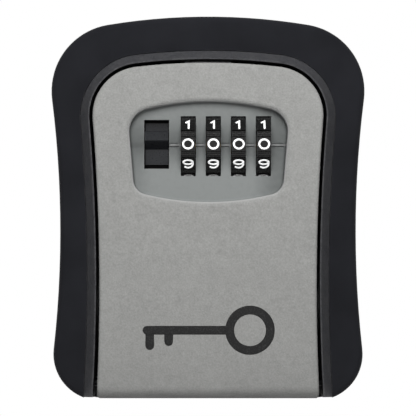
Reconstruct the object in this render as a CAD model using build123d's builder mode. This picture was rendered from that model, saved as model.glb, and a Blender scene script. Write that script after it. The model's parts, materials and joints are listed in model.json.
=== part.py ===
from build123d import *

import os
from collections import namedtuple
from math import cos, radians, sin, sqrt

os.makedirs("parts", exist_ok=True)

# A wall-mounted key lock box: a cast housing in a soft cover, with a drop-down door that carries
# a four-dial combination lock. Millimetres, +X right, +Z up, the front faces -Y.
# "Depth" is the distance in front of the wall plane Y = 0. The origin is the centre of the
# four wall holes on that plane.

# ---------------------------------------------------------------- driving dimensions

# Waisted outlines seen from the front: a crowned top, round shoulders and hollow sides.
Outline = namedtuple("Outline", "top top_radius corner_radius side_radius waist waist_height")
COVER_OUTLINE = Outline(57.7, 185.0, 20.3, 318.0, 44.55, -7.0)
DOOR_OUTLINE = Outline(43.1, 183.7, 14.5, 570.0, 32.1, -21.3)
COVER_BOTTOM = -58.0
COVER_FOOT_RADIUS = 14.0

# Outer cover
COVER_WALL = 2.2
COVER_REAR = 1.0
COVER_FRONT = 33.5
COVER_EDGE_RADIUS = 2.0
COVER_SEAM = 0.08
COVER_BOSSES = [(-36.4, 44.4), (36.4, 44.4), (-40.8, -44.0), (40.8, -44.0)]
COVER_BOSS_RADIUS = 3.0
COVER_SCREW_RADIUS = 1.2
COVER_SCREW_CLEARANCE = 0.2
COVER_SCREW_LENGTH = 12.0
COVER_SCREW_HEAD_RADIUS = 2.7
COVER_SCREW_HEAD_REAR = 0.2
COVER_SCREW_SLOT = (3.0, 0.7)
COVER_SCREW_SLOT_DEPTH = 0.8
COUNTERBORE_DEPTH = 1.6
COUNTERBORE_RADIUS = 3.0

# Housing casting
PLATE_INSET = 2.4
PLATE_THICKNESS = 3.0
DOOR_GAP = 1.1
RIM_WIDTH = 3.0
RIM_START = 33.2
RIM_CREST = 36.8
RIM_SLOPE = 36.0
FLOOR_TOP = -51.6
FLOOR_BOTTOM = -54.6
FLOOR_FRONT = 27.0
LEG_BOTTOM = -56.7
LEG_TIP = -56.1
OVERRUN = 10.0
STRIKE_HALF_WIDTH = 11.0
STRIKE_LOW = 45.0
STRIKE_HIGH = 50.2
POCKET_HALF_WIDTH = 8.2
POCKET_LOW = 42.0
POCKET_HIGH = 46.9
POCKET_DEPTH = 6.0
WALL_HOLES = [(-22.0, -31.0), (22.0, -31.0), (-22.0, 31.0), (22.0, 31.0)]
WALL_HOLE_RADIUS = 2.75

# Door and its hinge
DOOR_BOTTOM = -57.1
DOOR_LIMIT = 46.0
HALF_SPAN = 40.0
FAR_FRONT = 50.0
DOOR_CROWN = 39.3
DOOR_CROWN_HEIGHT = -2.0
DOOR_CROWN_RADIUS = 600.0
DOOR_ROLL_RADIUS = 4.5
DOOR_WALL = 2.2
DOOR_REAR = 31.0
DOOR_EDGE_RADIUS = 0.9
DOOR_CAVITY_REAR = 20.0
DOOR_CAVITY_BOTTOM = -47.5
HINGE_DEPTH = 32.0
HINGE_HEIGHT = -52.3
HINGE_PIN_RADIUS = 1.25
HINGE_PIN_LENGTH = 73.4
HINGE_PIN_CHAMFER = 0.3
KNUCKLE_RADIUS = 4.2
KNUCKLE_LENGTH = 65.0
RUNNING_CLEARANCE = 0.05

# Scooped window in the door
PAN_REAR = 33.0
PAN_FRONT = 37.2
PAN_BORDER = 2.0
WINDOW_UPPER_CORNER = 6.8
WINDOW_LOWER_CORNER = 4.5
FLOOR_LOW_END = (36.4, 1.0)
FLOOR_HOLLOW = (35.3, 15.5)
FLOOR_HIGH_END = (36.2, 32.5)
SCOOP_EDGE_RADIUS = 0.7
LIP_RADIUS = 1.2
INDEX_GROOVE = (18.0, 19.4)
INDEX_GROOVE_FLOOR = 35.1
INDEX_RIB = (18.5, 18.95)
INDEX_RIB_CREST = 35.5
INDEX_RIB_GAP = 0.5
INDEX_RIGHT_END = 22.6

# Dials
DIAL_CENTRES = [-5.87, 1.59, 9.05, 16.51]
DIAL_DEPTH = 29.9
DIAL_HEIGHT = 18.8
DIAL_WIDTH = 4.1
DIAL_RADIUS = 10.1
DIAL_FACES = 10
PAD_ANGLE = 11.4
PAD_CORNER_RADIUS = 10.05
GROOVE_ANGLE = 14.0
GROOVE_RADIUS = 9.35
RIB_RADIUS = 9.8
SLOT_REAR = 32.0
DIAL_SLOT_WIDTH = 4.52
DIAL_SLOT_LOW = 9.5
DIAL_SLOT_HIGH = 27.3
DIAL_RELIEF_RADIUS = 10.3
DIAL_RECESS_RADIUS = 4.0
DIAL_RECESS_DEPTH = 1.35

# Code sleeves. The flange and the right end are measured from the right face of their dial, and
# the clutch ring from its left face, where moving the sleeves left frees them from the dials.
SLEEVE_HUB_RADIUS = 2.3
SLEEVE_RIGHT_END = 2.3
SLEEVE_CHANNEL_RADIUS = 4.15
SLEEVE_CHANNEL_LEFT = -9.8
SLEEVE_CHANNEL_RIGHT = 21.2
FLANGE_RADIUS = 3.8
FLANGE_START = 0.25
FLANGE_END = 1.15
CLUTCH_LENGTH = 1.15
CLUTCH_ROOT = 3.3
CLUTCH_TIP = 3.8
CLUTCH_TOOTH = 1.0
TOOTH_ROOTING = 1.0
CLUTCH_CLEARANCE = 0.15
GATE_WIDTH = 2.2
GATE_FLOOR = 2.5

# Shaft and fork
SHAFT_RADIUS = 1.5
SHAFT_LEFT = -11.7
SHAFT_RIGHT = 26.4
CLIP_LEFT = -8.7
CLIP_RIGHT = -8.2
CLIP_RADIUS = 2.8
CLIP_GROOVE_DEPTH = 0.35
CLIP_MOUTH = 1.6
FORK_LEFT = 20.3
FORK_RIGHT = 21.7
FORK_SLOT_X = 22.6
FORK_REAR = 18.2
FORK_RING_RADIUS = 2.4
FORK_ARM_LOW = 17.2
FORK_ARM_HIGH = 20.4
FORK_PLATE_HIGH = 22.8
FORK_PLATE_RIGHT = 24.5
FORK_PLATE_THICKNESS = 1.6
FORK_SLOT_LOW = 19.1

# Code-change lever
LEVER_X = 21.9
LEVER_BOSS_RADIUS = 3.0
LEVER_THROW = 1.56
LEVER_HALF_SWING = 26.7
LEVER_PIN_RADIUS = 0.9
LEVER_REAR = 14.0
LEVER_HUB_RADIUS = 3.8
LEVER_THICKNESS = 1.8
LEVER_SHOULDER = 17.95
LEVER_PIN_TIP = 20.6
LEVER_ARM_LENGTH = 9.0
LEVER_ARM_WIDTH = 4.0
LEVER_KNOB_RADIUS = 1.6
LEVER_KNOB_HEIGHT = 1.4
LEVER_CLIP_RADIUS = 3.9
LEVER_CLIP_THICKNESS = 0.4

# Lock case
CASE_INSET = 2.7
CASE_WALL = 1.2
CASE_REAR = 16.0
CASE_INNER = 17.5
CASE_FRONT = 32.7
CASE_BOTTOM = 5.0
CASE_SCREWS_UPPER = [(-12.5, 36.6), (12.5, 36.6)]
CASE_SCREWS_LOWER = [(-26.4, 9.5), (26.4, 9.5)]
UPPER_BOSS_RADIUS = 1.9
LOWER_BOSS_RADIUS = 2.2
BOSS_FRONT = 37.0
CASE_CORNER_RADIUS = 1.0
CASE_WEB_FRONT = 31.7
CASE_SCREW_RADIUS = 1.0
CASE_SCREW_HOLE_RADIUS = 1.3
CASE_SCREW_LENGTH = 9.0
CASE_SCREW_HEAD_RADIUS = 2.3
CASE_SCREW_HEAD_HEIGHT = 1.4
CASE_SCREW_HEAD_EDGE = 0.5
CASE_SCREW_SLOT = (2.6, 0.6)
CASE_SCREW_SLOT_DEPTH = 0.9
LEFT_BEARING = ((-12.7, -10.3), (14.8, 22.8))
RIGHT_BEARING = ((22.3, 29.9), (15.8, 21.8))
RIGHT_BEARING_REAR = 24.0
LEFT_SPRING_SHELF = ((-18.0, -14.0), (5.5, 7.0))
RIGHT_SPRING_SHELF = ((20.7, 24.5), (23.2, 24.5))
COMB_SEAT = ((-10.0, 21.5), (5.5, 8.9))
TONGUE_NOTCH = ((-7.4, 7.4), (38.0, 42.0))
TONGUE_NOTCH_REAR = 28.7

# Detent comb
COMB_REAR = 18.6
COMB_THICKNESS = 0.4
COMB_BASE = ((-9.2, 20.8), (6.4, 8.9))
COMB_TINE_HALF_WIDTH = 1.2
COMB_TINE_LOW = 8.0
COMB_TINE_TIP = 20.6
COMB_BUMP = [(18.8, 17.8), (19.55, 18.6), (19.55, 19.0), (18.8, 19.8)]
COMB_SCREWS = [(-2.14, 7.7), (12.78, 7.7)]
COMB_SCREW_RADIUS = 0.8
COMB_SCREW_REAR = 16.4
COMB_SCREW_HEAD_RADIUS = 1.3
COMB_SCREW_HEAD_HEIGHT = 0.8

# Latch
LATCH_REAR = 29.15
LATCH_THICKNESS = 1.5
TONGUE_HALF_WIDTH = 7.0
TONGUE_TOP = 46.4
BAR_LOW = 32.6
BAR_HIGH = 36.4
BAR_LEFT = -18.5
BAR_RIGHT = 24.4
ARM_RIGHT = -13.5
ARM_BOTTOM = 16.0
FENCE_TIP = 5.9
FENCE_START = 0.35
FENCE_END = 1.05
FENCE_ROOTING = 0.5
BOSS_NOTCH = (34.4, 37.0)
BOSS_CLEARANCE = 0.3
RIVETS = [(-16.0, 30.0), (-16.0, 19.5)]
RIVET_RADIUS = 0.95
RIVET_HEAD_RADIUS = 1.7
RIVET_HEAD_HEIGHT = 0.6
RIVET_REACH = 0.85

# Release button
SLIDER_X = -15.3
SLIDER_SLOT_WIDTH = 7.45
SLIDER_SLOT_LOW = 11.7
SLIDER_SLOT_HIGH = 26.25
BUTTON_WIDTH = 6.95
BUTTON_FOOT = (17.5, 31.4)
SHUTTER = ((-19.4, -11.4), (9.8, 29.9))
SHUTTER_REAR = 31.9
BUTTON_PAD = (13.0, 25.4)
BUTTON_PAD_REAR = 32.4
BUTTON_PAD_FRONT = 32.8
THUMB_RIDGE = [(32.5, 23.1), (35.4, 22.8), (36.2, 20.1), (32.5, 17.3)]
RIDGE_EDGE_RADIUS = 0.35

# Springs
SPRING_RADIUS = 1.6
SPRING_INNER_RADIUS = 1.1
SPRING_LEFT_PLACE = (-16.0, 29.2)
SPRING_RIGHT_PLACE = (22.6, 29.9)


# ---------------------------------------------------------------- planes and profiles


def front(depth):
    """The plane at a depth: local x is +X, local y is +Z, and it extrudes forwards."""
    return Plane.XZ.offset(depth)


def side(x):
    """The plane across the box at x: local x is depth, local y is +Z, and it extrudes to -X."""
    return Plane(origin=(x, 0, 0), x_dir=(0, -1, 0), z_dir=(-1, 0, 0))


def grown(outline, distance):
    """The outline moved outwards by a distance all round."""
    return Outline(
        outline.top + distance,
        outline.top_radius + distance,
        outline.corner_radius + distance,
        outline.side_radius - distance,
        outline.waist + distance,
        outline.waist_height,
    )


def arc_about(centre, start, end):
    """The shorter arc from start to end about a centre."""
    radius = (start - centre).length
    middle = centre + ((start - centre) + (end - centre)).normalized() * radius
    return ThreePointArc(start, middle, end)


def waisted_face(outline, bottom, foot_radius=0.0):
    """The closed face of an outline, down to a flat bottom with square or round feet."""
    top_centre = Vector(0, outline.top - outline.top_radius)
    side_centre = Vector(outline.waist + outline.side_radius, outline.waist_height)
    between = side_centre - top_centre
    direction = between.normalized()
    inner = outline.top_radius - outline.corner_radius
    outer = outline.side_radius + outline.corner_radius
    along = (inner**2 - outer**2 + between.length**2) / (2 * between.length)
    across = sqrt(inner**2 - along**2)
    corner = top_centre + direction * along + Vector(-direction.Y, direction.X) * across
    crown = Vector(0, outline.top)
    shoulder = top_centre + (corner - top_centre).normalized() * outline.top_radius
    flank = side_centre + (corner - side_centre).normalized() * outline.side_radius
    foot_reach = outline.side_radius + foot_radius
    foot_drop = bottom + foot_radius - outline.waist_height
    foot = Vector(side_centre.X - sqrt(foot_reach**2 - foot_drop**2), bottom + foot_radius)
    ankle = side_centre + (foot - side_centre).normalized() * outline.side_radius
    toe = Vector(foot.X, bottom)
    with BuildSketch() as face:
        with BuildLine():
            arc_about(top_centre, crown, shoulder)
            arc_about(corner, shoulder, flank)
            arc_about(side_centre, flank, ankle)
            if foot_radius:
                arc_about(foot, ankle, toe)
            Line(toe, (0, bottom))
            mirror(about=Plane.YZ)
        make_face()
    return face.sketch


def rectangle_between(x, y):
    """A rectangle between the two ends given along each local axis."""
    with BuildSketch() as face:
        with Locations(((x[0] + x[1]) / 2, (y[0] + y[1]) / 2)):
            Rectangle(x[1] - x[0], y[1] - y[0])
    return face.sketch


def window_face(border=0.0):
    """The outline of the scooped window, seen from the front."""
    with BuildSketch() as face:
        with BuildLine():
            ThreePointArc((-23.7, 27.6), (0.3, 31.4), (24.0, 27.6))
            Line((24.0, 27.6), (22.0, 4.9))
            ThreePointArc((22.0, 4.9), (0.3, 1.8), (-21.7, 4.9))
            Line((-21.7, 4.9), (-23.7, 27.6))
        make_face()
        corners = face.vertices().sort_by(Axis.Y)
        fillet(corners[2:], radius=WINDOW_UPPER_CORNER)
        fillet(face.vertices().sort_by(Axis.Y)[:2], radius=WINDOW_LOWER_CORNER)
        if border:
            offset(amount=border, kind=Kind.ARC)
    return face.sketch


def spline_face(root_radius, tip_radius, tooth_width):
    """A disc with one clutch tooth per dial figure."""
    tooth_height = tip_radius - root_radius + TOOTH_ROOTING
    with BuildSketch() as face:
        Circle(root_radius)
        with PolarLocations(tip_radius - tooth_height / 2, DIAL_FACES):
            Rectangle(tooth_height, tooth_width)
    return face.sketch


def dial_face():
    """A dial from the side: a flat pad for each figure, with a ribbed band between pads."""
    step = 360 / DIAL_FACES
    steps = [
        (-PAD_ANGLE, PAD_CORNER_RADIUS),
        (PAD_ANGLE, PAD_CORNER_RADIUS),
        (PAD_ANGLE, GROOVE_RADIUS),
        (GROOVE_ANGLE, GROOVE_RADIUS),
        (GROOVE_ANGLE, RIB_RADIUS),
        (step - GROOVE_ANGLE, RIB_RADIUS),
        (step - GROOVE_ANGLE, GROOVE_RADIUS),
        (step - PAD_ANGLE, GROOVE_RADIUS),
    ]
    points = []
    for figure in range(DIAL_FACES):
        for angle, radius in steps:
            turn = radians(figure * step + angle)
            points.append((radius * cos(turn), radius * sin(turn)))
    with BuildSketch() as face:
        with BuildLine():
            Polyline(*points, close=True)
        make_face()
    return face.sketch


def cross_recess(size, width):
    """The two crossed slots of a screw head."""
    with BuildSketch() as face:
        Rectangle(size, width)
        Rectangle(width, size)
    return face.sketch


def finish(piece, name):
    """Labels a finished piece and writes it."""
    piece.part.label = name
    export_step(piece.part, f"parts/{name}.step")


OPENING = grown(DOOR_OUTLINE, DOOR_GAP)
RIM_OUTLINE = grown(DOOR_OUTLINE, DOOR_GAP + RIM_WIDTH)

# ---------------------------------------------------------------- housing

with BuildPart() as housing:
    # Back plate
    with BuildSketch(front(0)):
        plate_outline = grown(COVER_OUTLINE, -PLATE_INSET)
        add(waisted_face(plate_outline, COVER_BOTTOM + PLATE_INSET, COVER_FOOT_RADIUS - PLATE_INSET))
    extrude(amount=PLATE_THICKNESS)
    # Walls of the key compartment, with the bevelled rim round the door
    with BuildSketch(front(PLATE_THICKNESS)):
        add(waisted_face(RIM_OUTLINE, FLOOR_BOTTOM))
    extrude(amount=FLOOR_FRONT - PLATE_THICKNESS)
    with BuildSketch(front(FLOOR_FRONT)):
        add(waisted_face(RIM_OUTLINE, LEG_BOTTOM))
    extrude(amount=RIM_START - FLOOR_FRONT)
    # The bevel runs straight off the ends of the legs
    with BuildSketch(front(RIM_START)):
        add(waisted_face(RIM_OUTLINE, LEG_BOTTOM - OVERRUN))
    extrude(amount=RIM_CREST - RIM_START, taper=RIM_SLOPE)
    leg_cut = [
        (RIM_START, LEG_BOTTOM),
        (RIM_CREST, LEG_TIP),
        (RIM_CREST, LEG_BOTTOM - OVERRUN),
        (RIM_START, LEG_BOTTOM - OVERRUN),
    ]
    with BuildSketch(side(HALF_SPAN)):
        with BuildLine():
            Polyline(*leg_cut, close=True)
        make_face()
    extrude(amount=2 * HALF_SPAN, mode=Mode.SUBTRACT)
    # Strike block behind the top of the rim
    with BuildSketch(front(PLATE_THICKNESS)):
        add(rectangle_between((-STRIKE_HALF_WIDTH, STRIKE_HALF_WIDTH), (STRIKE_LOW, STRIKE_HIGH)))
    extrude(amount=DOOR_REAR - PLATE_THICKNESS)
    # The hollow: closed below by the floor, open below in front of it
    with BuildSketch(front(PLATE_THICKNESS)):
        add(waisted_face(OPENING, FLOOR_TOP))
    extrude(amount=RIM_CREST, mode=Mode.SUBTRACT)
    with BuildSketch(front(FLOOR_FRONT)):
        add(waisted_face(OPENING, COVER_BOTTOM - OVERRUN))
    extrude(amount=RIM_CREST, mode=Mode.SUBTRACT)
    # Pocket that the latch tongue springs up into
    with BuildSketch(front(DOOR_REAR - POCKET_DEPTH)):
        add(rectangle_between((-POCKET_HALF_WIDTH, POCKET_HALF_WIDTH), (POCKET_LOW, POCKET_HIGH)))
    extrude(amount=POCKET_DEPTH, mode=Mode.SUBTRACT)
    # Wall holes, counterbored cover-screw holes and the hinge-pin holes
    with BuildSketch(front(0)):
        with Locations(*WALL_HOLES):
            Circle(WALL_HOLE_RADIUS)
    extrude(amount=PLATE_THICKNESS, mode=Mode.SUBTRACT)
    with BuildSketch(front(0)):
        with Locations(*COVER_BOSSES):
            Circle(COUNTERBORE_RADIUS)
    extrude(amount=COUNTERBORE_DEPTH, mode=Mode.SUBTRACT)
    with BuildSketch(front(0)):
        with Locations(*COVER_BOSSES):
            Circle(COVER_SCREW_RADIUS + COVER_SCREW_CLEARANCE)
    extrude(amount=PLATE_THICKNESS, mode=Mode.SUBTRACT)
    with BuildSketch(side(HALF_SPAN)):
        with Locations((HINGE_DEPTH, HINGE_HEIGHT)):
            Circle(HINGE_PIN_RADIUS)
    extrude(amount=2 * HALF_SPAN, mode=Mode.SUBTRACT)
finish(housing, "housing")

# ---------------------------------------------------------------- outer cover

with BuildPart() as outer_cover:
    with BuildSketch(front(COVER_REAR)):
        add(waisted_face(COVER_OUTLINE, COVER_BOTTOM, COVER_FOOT_RADIUS))
    extrude(amount=COVER_FRONT - COVER_REAR)
    fillet(outer_cover.faces().sort_by(Axis.Y)[0].edges(), radius=COVER_EDGE_RADIUS)
    # Hollow back
    with BuildSketch(front(COVER_REAR)):
        shell_outline = grown(COVER_OUTLINE, -COVER_WALL)
        add(waisted_face(shell_outline, COVER_BOTTOM + COVER_WALL, COVER_FOOT_RADIUS - COVER_WALL))
    extrude(amount=COVER_FRONT - COVER_WALL - COVER_REAR, mode=Mode.SUBTRACT)
    # Opening that fits round the housing's rim, open at the bottom for the door
    with BuildSketch(front(FLOOR_FRONT - COVER_SEAM)):
        add(waisted_face(grown(RIM_OUTLINE, COVER_SEAM), COVER_BOTTOM - OVERRUN))
    extrude(amount=COVER_FRONT, mode=Mode.SUBTRACT)
    # Screw bosses
    with BuildSketch(front(PLATE_THICKNESS)):
        with Locations(*COVER_BOSSES):
            Circle(COVER_BOSS_RADIUS)
    extrude(amount=COVER_FRONT - COVER_WALL - PLATE_THICKNESS)
    with BuildSketch(front(PLATE_THICKNESS)):
        with Locations(*COVER_BOSSES):
            Circle(COVER_SCREW_RADIUS)
    extrude(amount=COVER_SCREW_LENGTH - PLATE_THICKNESS, mode=Mode.SUBTRACT)
finish(outer_cover, "outer_cover")

with BuildPart() as cover_screws:
    with BuildSketch(front(COVER_SCREW_HEAD_REAR)):
        with Locations(*COVER_BOSSES):
            Circle(COVER_SCREW_HEAD_RADIUS)
    extrude(amount=COUNTERBORE_DEPTH - COVER_SCREW_HEAD_REAR)
    with BuildSketch(front(COUNTERBORE_DEPTH)):
        with Locations(*COVER_BOSSES):
            Circle(COVER_SCREW_RADIUS)
    extrude(amount=COVER_SCREW_LENGTH - COUNTERBORE_DEPTH)
    with BuildSketch(front(COVER_SCREW_HEAD_REAR)):
        with Locations(*COVER_BOSSES):
            add(cross_recess(*COVER_SCREW_SLOT))
    extrude(amount=COVER_SCREW_SLOT_DEPTH, mode=Mode.SUBTRACT)
finish(cover_screws, "cover_screws")

with BuildPart() as hinge_pin:
    with BuildSketch(side(HINGE_PIN_LENGTH / 2)):
        with Locations((HINGE_DEPTH, HINGE_HEIGHT)):
            Circle(HINGE_PIN_RADIUS)
    extrude(amount=HINGE_PIN_LENGTH)
    chamfer(hinge_pin.edges().filter_by(GeomType.CIRCLE), length=HINGE_PIN_CHAMFER)
finish(hinge_pin, "hinge_pin")

# ---------------------------------------------------------------- door

crown_centre = Vector(DOOR_CROWN - DOOR_CROWN_RADIUS, DOOR_CROWN_HEIGHT)
roll_height = DOOR_BOTTOM + DOOR_ROLL_RADIUS
roll_reach = DOOR_CROWN_RADIUS - DOOR_ROLL_RADIUS
roll_centre = Vector(
    crown_centre.X + sqrt(roll_reach**2 - (roll_height - DOOR_CROWN_HEIGHT) ** 2),
    roll_height,
)


def crown_point(radius, height):
    """The point of the crowned front, or of a surface parallel to it, at a height."""
    rise = height - crown_centre.Y
    return Vector(crown_centre.X + sqrt(radius**2 - rise**2), height)


# The hollow behind the door's skin
with BuildPart() as door_cavity:
    inner_radius = DOOR_CROWN_RADIUS - DOOR_WALL
    cavity_top = crown_point(inner_radius, DOOR_LIMIT)
    cavity_bottom = crown_point(inner_radius, DOOR_CAVITY_BOTTOM)
    rear_bottom = (DOOR_CAVITY_REAR, DOOR_CAVITY_BOTTOM)
    rear_top = (DOOR_CAVITY_REAR, DOOR_LIMIT)
    with BuildSketch(side(HALF_SPAN)):
        with BuildLine():
            arc_about(crown_centre, cavity_top, cavity_bottom)
            Polyline(cavity_bottom, rear_bottom, rear_top, cavity_top)
        make_face()
    extrude(amount=2 * HALF_SPAN)
    with BuildSketch(front(0)):
        add(waisted_face(grown(DOOR_OUTLINE, -DOOR_WALL), DOOR_CAVITY_BOTTOM))
    extrude(amount=FAR_FRONT, mode=Mode.INTERSECT)

# The scoop: upright walls round a floor that is hollow from top to bottom
with BuildPart() as window_scoop:
    front_low = (FAR_FRONT, FLOOR_LOW_END[1])
    front_high = (FAR_FRONT, FLOOR_HIGH_END[1])
    with BuildSketch(side(HALF_SPAN)):
        with BuildLine():
            ThreePointArc(FLOOR_LOW_END, FLOOR_HOLLOW, FLOOR_HIGH_END)
            Polyline(FLOOR_HIGH_END, front_high, front_low, FLOOR_LOW_END)
        make_face()
    extrude(amount=2 * HALF_SPAN)
    with BuildSketch(front(PAN_REAR)):
        add(window_face())
    extrude(amount=FAR_FRONT - PAN_REAR, mode=Mode.INTERSECT)
    fillet(window_scoop.faces().sort_by(Axis.Y)[-1].edges(), radius=SCOOP_EDGE_RADIUS)

with BuildPart() as door_panel:
    front_top = crown_point(DOOR_CROWN_RADIUS, DOOR_LIMIT)
    roll_start = crown_centre + (roll_centre - crown_centre).normalized() * DOOR_CROWN_RADIUS
    roll_end = Vector(roll_centre.X, DOOR_BOTTOM)
    with BuildSketch(side(HALF_SPAN)):
        with BuildLine():
            arc_about(crown_centre, front_top, roll_start)
            arc_about(roll_centre, roll_start, roll_end)
            Polyline(roll_end, (DOOR_REAR, DOOR_BOTTOM), (DOOR_REAR, DOOR_LIMIT), front_top)
        make_face()
    extrude(amount=2 * HALF_SPAN)
    with BuildSketch(front(0)):
        add(waisted_face(DOOR_OUTLINE, COVER_BOTTOM - OVERRUN))
    extrude(amount=FAR_FRONT, mode=Mode.INTERSECT)
    # Rounded front edge, all round but for the seam between crown and roll
    rounded = door_panel.edges().filter_by(lambda edge: edge.center().Y < -PAN_REAR)
    rounded = rounded.filter_by(Axis.X, reverse=True)
    fillet(rounded, radius=DOOR_EDGE_RADIUS)
    add(door_cavity.part, mode=Mode.SUBTRACT)
    # Hinge knuckle along the low edge
    with BuildSketch(side(KNUCKLE_LENGTH / 2)):
        with Locations((HINGE_DEPTH, HINGE_HEIGHT)):
            Circle(KNUCKLE_RADIUS)
    extrude(amount=KNUCKLE_LENGTH)
    # Pan behind the window, then the scoop in it
    with BuildSketch(front(PAN_REAR)):
        add(window_face(PAN_BORDER))
    extrude(amount=PAN_FRONT - PAN_REAR)
    add(window_scoop.part, mode=Mode.SUBTRACT)
    window_lip = door_panel.edges().filter_by(
        lambda edge: abs(edge.center().X) < 25.5 and 0.0 < edge.center().Z < 33.0 and edge.center().Y < -37.6
    )
    fillet(window_lip, radius=LIP_RADIUS)
    # Bosses for the lock case
    with BuildSketch(front(CASE_INNER)):
        with Locations(*CASE_SCREWS_UPPER):
            Circle(UPPER_BOSS_RADIUS)
        with Locations(*CASE_SCREWS_LOWER):
            Circle(LOWER_BOSS_RADIUS)
    extrude(amount=BOSS_FRONT - CASE_INNER)
    with BuildSketch(front(CASE_INNER)):
        with Locations(*CASE_SCREWS_UPPER, *CASE_SCREWS_LOWER):
            Circle(CASE_SCREW_RADIUS)
    extrude(amount=CASE_SCREW_LENGTH, mode=Mode.SUBTRACT)
    # Dial slots, with a round relief behind each, and the slider slot
    for centre in DIAL_CENTRES:
        slot = (centre - DIAL_SLOT_WIDTH / 2, centre + DIAL_SLOT_WIDTH / 2)
        with BuildSketch(front(SLOT_REAR)):
            add(rectangle_between(slot, (DIAL_SLOT_LOW, DIAL_SLOT_HIGH)))
        extrude(amount=OVERRUN, mode=Mode.SUBTRACT)
        with BuildSketch(side(slot[1])):
            with Locations((DIAL_DEPTH, DIAL_HEIGHT)):
                Circle(DIAL_RELIEF_RADIUS)
        extrude(amount=DIAL_SLOT_WIDTH, mode=Mode.SUBTRACT)
    slider_slot = (SLIDER_X - SLIDER_SLOT_WIDTH / 2, SLIDER_X + SLIDER_SLOT_WIDTH / 2)
    with BuildSketch(front(SLOT_REAR)):
        add(rectangle_between(slider_slot, (SLIDER_SLOT_LOW, SLIDER_SLOT_HIGH)))
    extrude(amount=OVERRUN, mode=Mode.SUBTRACT)
    # Channel behind the bars between the slots, for the code sleeves
    with BuildSketch(side(SLEEVE_CHANNEL_RIGHT)):
        with Locations((DIAL_DEPTH, DIAL_HEIGHT)):
            Circle(SLEEVE_CHANNEL_RADIUS)
    extrude(amount=SLEEVE_CHANNEL_RIGHT - SLEEVE_CHANNEL_LEFT, mode=Mode.SUBTRACT)
    # Index line: a raised rib in a shallow groove, in segments between the slots
    line_starts = [slider_slot[1]] + [centre + DIAL_SLOT_WIDTH / 2 for centre in DIAL_CENTRES]
    line_ends = [centre - DIAL_SLOT_WIDTH / 2 - INDEX_RIB_GAP for centre in DIAL_CENTRES]
    line_ends.append(INDEX_RIGHT_END)
    for line_start, line_end in zip(line_starts, line_ends):
        with BuildSketch(front(INDEX_GROOVE_FLOOR)):
            add(rectangle_between((line_start, line_end), INDEX_GROOVE))
        extrude(amount=LIP_RADIUS, mode=Mode.SUBTRACT)
        with BuildSketch(front(INDEX_GROOVE_FLOOR - LIP_RADIUS)):
            add(rectangle_between((line_start, line_end), INDEX_RIB))
        extrude(amount=INDEX_RIB_CREST - INDEX_GROOVE_FLOOR + LIP_RADIUS)
    # Hinge bore
    with BuildSketch(side(HALF_SPAN)):
        with Locations((HINGE_DEPTH, HINGE_HEIGHT)):
            Circle(HINGE_PIN_RADIUS + RUNNING_CLEARANCE)
    extrude(amount=2 * HALF_SPAN, mode=Mode.SUBTRACT)
finish(door_panel, "door_panel")

# ---------------------------------------------------------------- lock case

with BuildPart() as lock_case:
    with BuildSketch(front(CASE_REAR)):
        add(waisted_face(grown(DOOR_OUTLINE, -CASE_INSET), CASE_BOTTOM))
    extrude(amount=CASE_FRONT - CASE_REAR)
    fillet(lock_case.faces().sort_by(Axis.Y)[-1].edges(), radius=CASE_CORNER_RADIUS)
    with BuildSketch(front(CASE_INNER)):
        inner_outline = grown(DOOR_OUTLINE, -CASE_INSET - CASE_WALL)
        add(waisted_face(inner_outline, CASE_BOTTOM + CASE_WALL))
    extrude(amount=CASE_FRONT, mode=Mode.SUBTRACT)
    # Shaft bearings: a web on the left, a block on the right wall
    with BuildSketch(front(CASE_INNER)):
        add(rectangle_between(*LEFT_BEARING))
    extrude(amount=CASE_WEB_FRONT - CASE_INNER)
    with BuildSketch(front(RIGHT_BEARING_REAR)):
        add(rectangle_between(*RIGHT_BEARING))
    extrude(amount=CASE_WEB_FRONT - RIGHT_BEARING_REAR)
    with BuildSketch(side(SHAFT_RIGHT + SHAFT_RADIUS / 2)):
        with Locations((DIAL_DEPTH, DIAL_HEIGHT)):
            Circle(SHAFT_RADIUS + RUNNING_CLEARANCE)
    extrude(amount=HALF_SPAN, mode=Mode.SUBTRACT)
    # Shelves under the two latch springs, and the seat of the detent comb
    with BuildSketch(front(CASE_INNER)):
        add(rectangle_between(*LEFT_SPRING_SHELF))
        add(rectangle_between(*RIGHT_SPRING_SHELF))
    extrude(amount=CASE_WEB_FRONT - CASE_INNER)
    with BuildSketch(front(CASE_INNER)):
        add(rectangle_between(*COMB_SEAT))
    extrude(amount=COMB_REAR - CASE_INNER)
    # Notch for the latch tongue
    with BuildSketch(front(TONGUE_NOTCH_REAR)):
        add(rectangle_between(*TONGUE_NOTCH))
    extrude(amount=OVERRUN, mode=Mode.SUBTRACT)
    # Screw holes and the lever's bore
    with BuildSketch(front(CASE_REAR)):
        with Locations(*CASE_SCREWS_UPPER, *CASE_SCREWS_LOWER):
            Circle(CASE_SCREW_HOLE_RADIUS)
        with Locations((LEVER_X, DIAL_HEIGHT)):
            Circle(LEVER_BOSS_RADIUS + RUNNING_CLEARANCE)
    extrude(amount=CASE_INNER - CASE_REAR, mode=Mode.SUBTRACT)
    with BuildSketch(front(COMB_SCREW_REAR)):
        with Locations(*COMB_SCREWS):
            Circle(COMB_SCREW_RADIUS)
    extrude(amount=COMB_REAR - COMB_SCREW_REAR, mode=Mode.SUBTRACT)
finish(lock_case, "lock_case")

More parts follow.
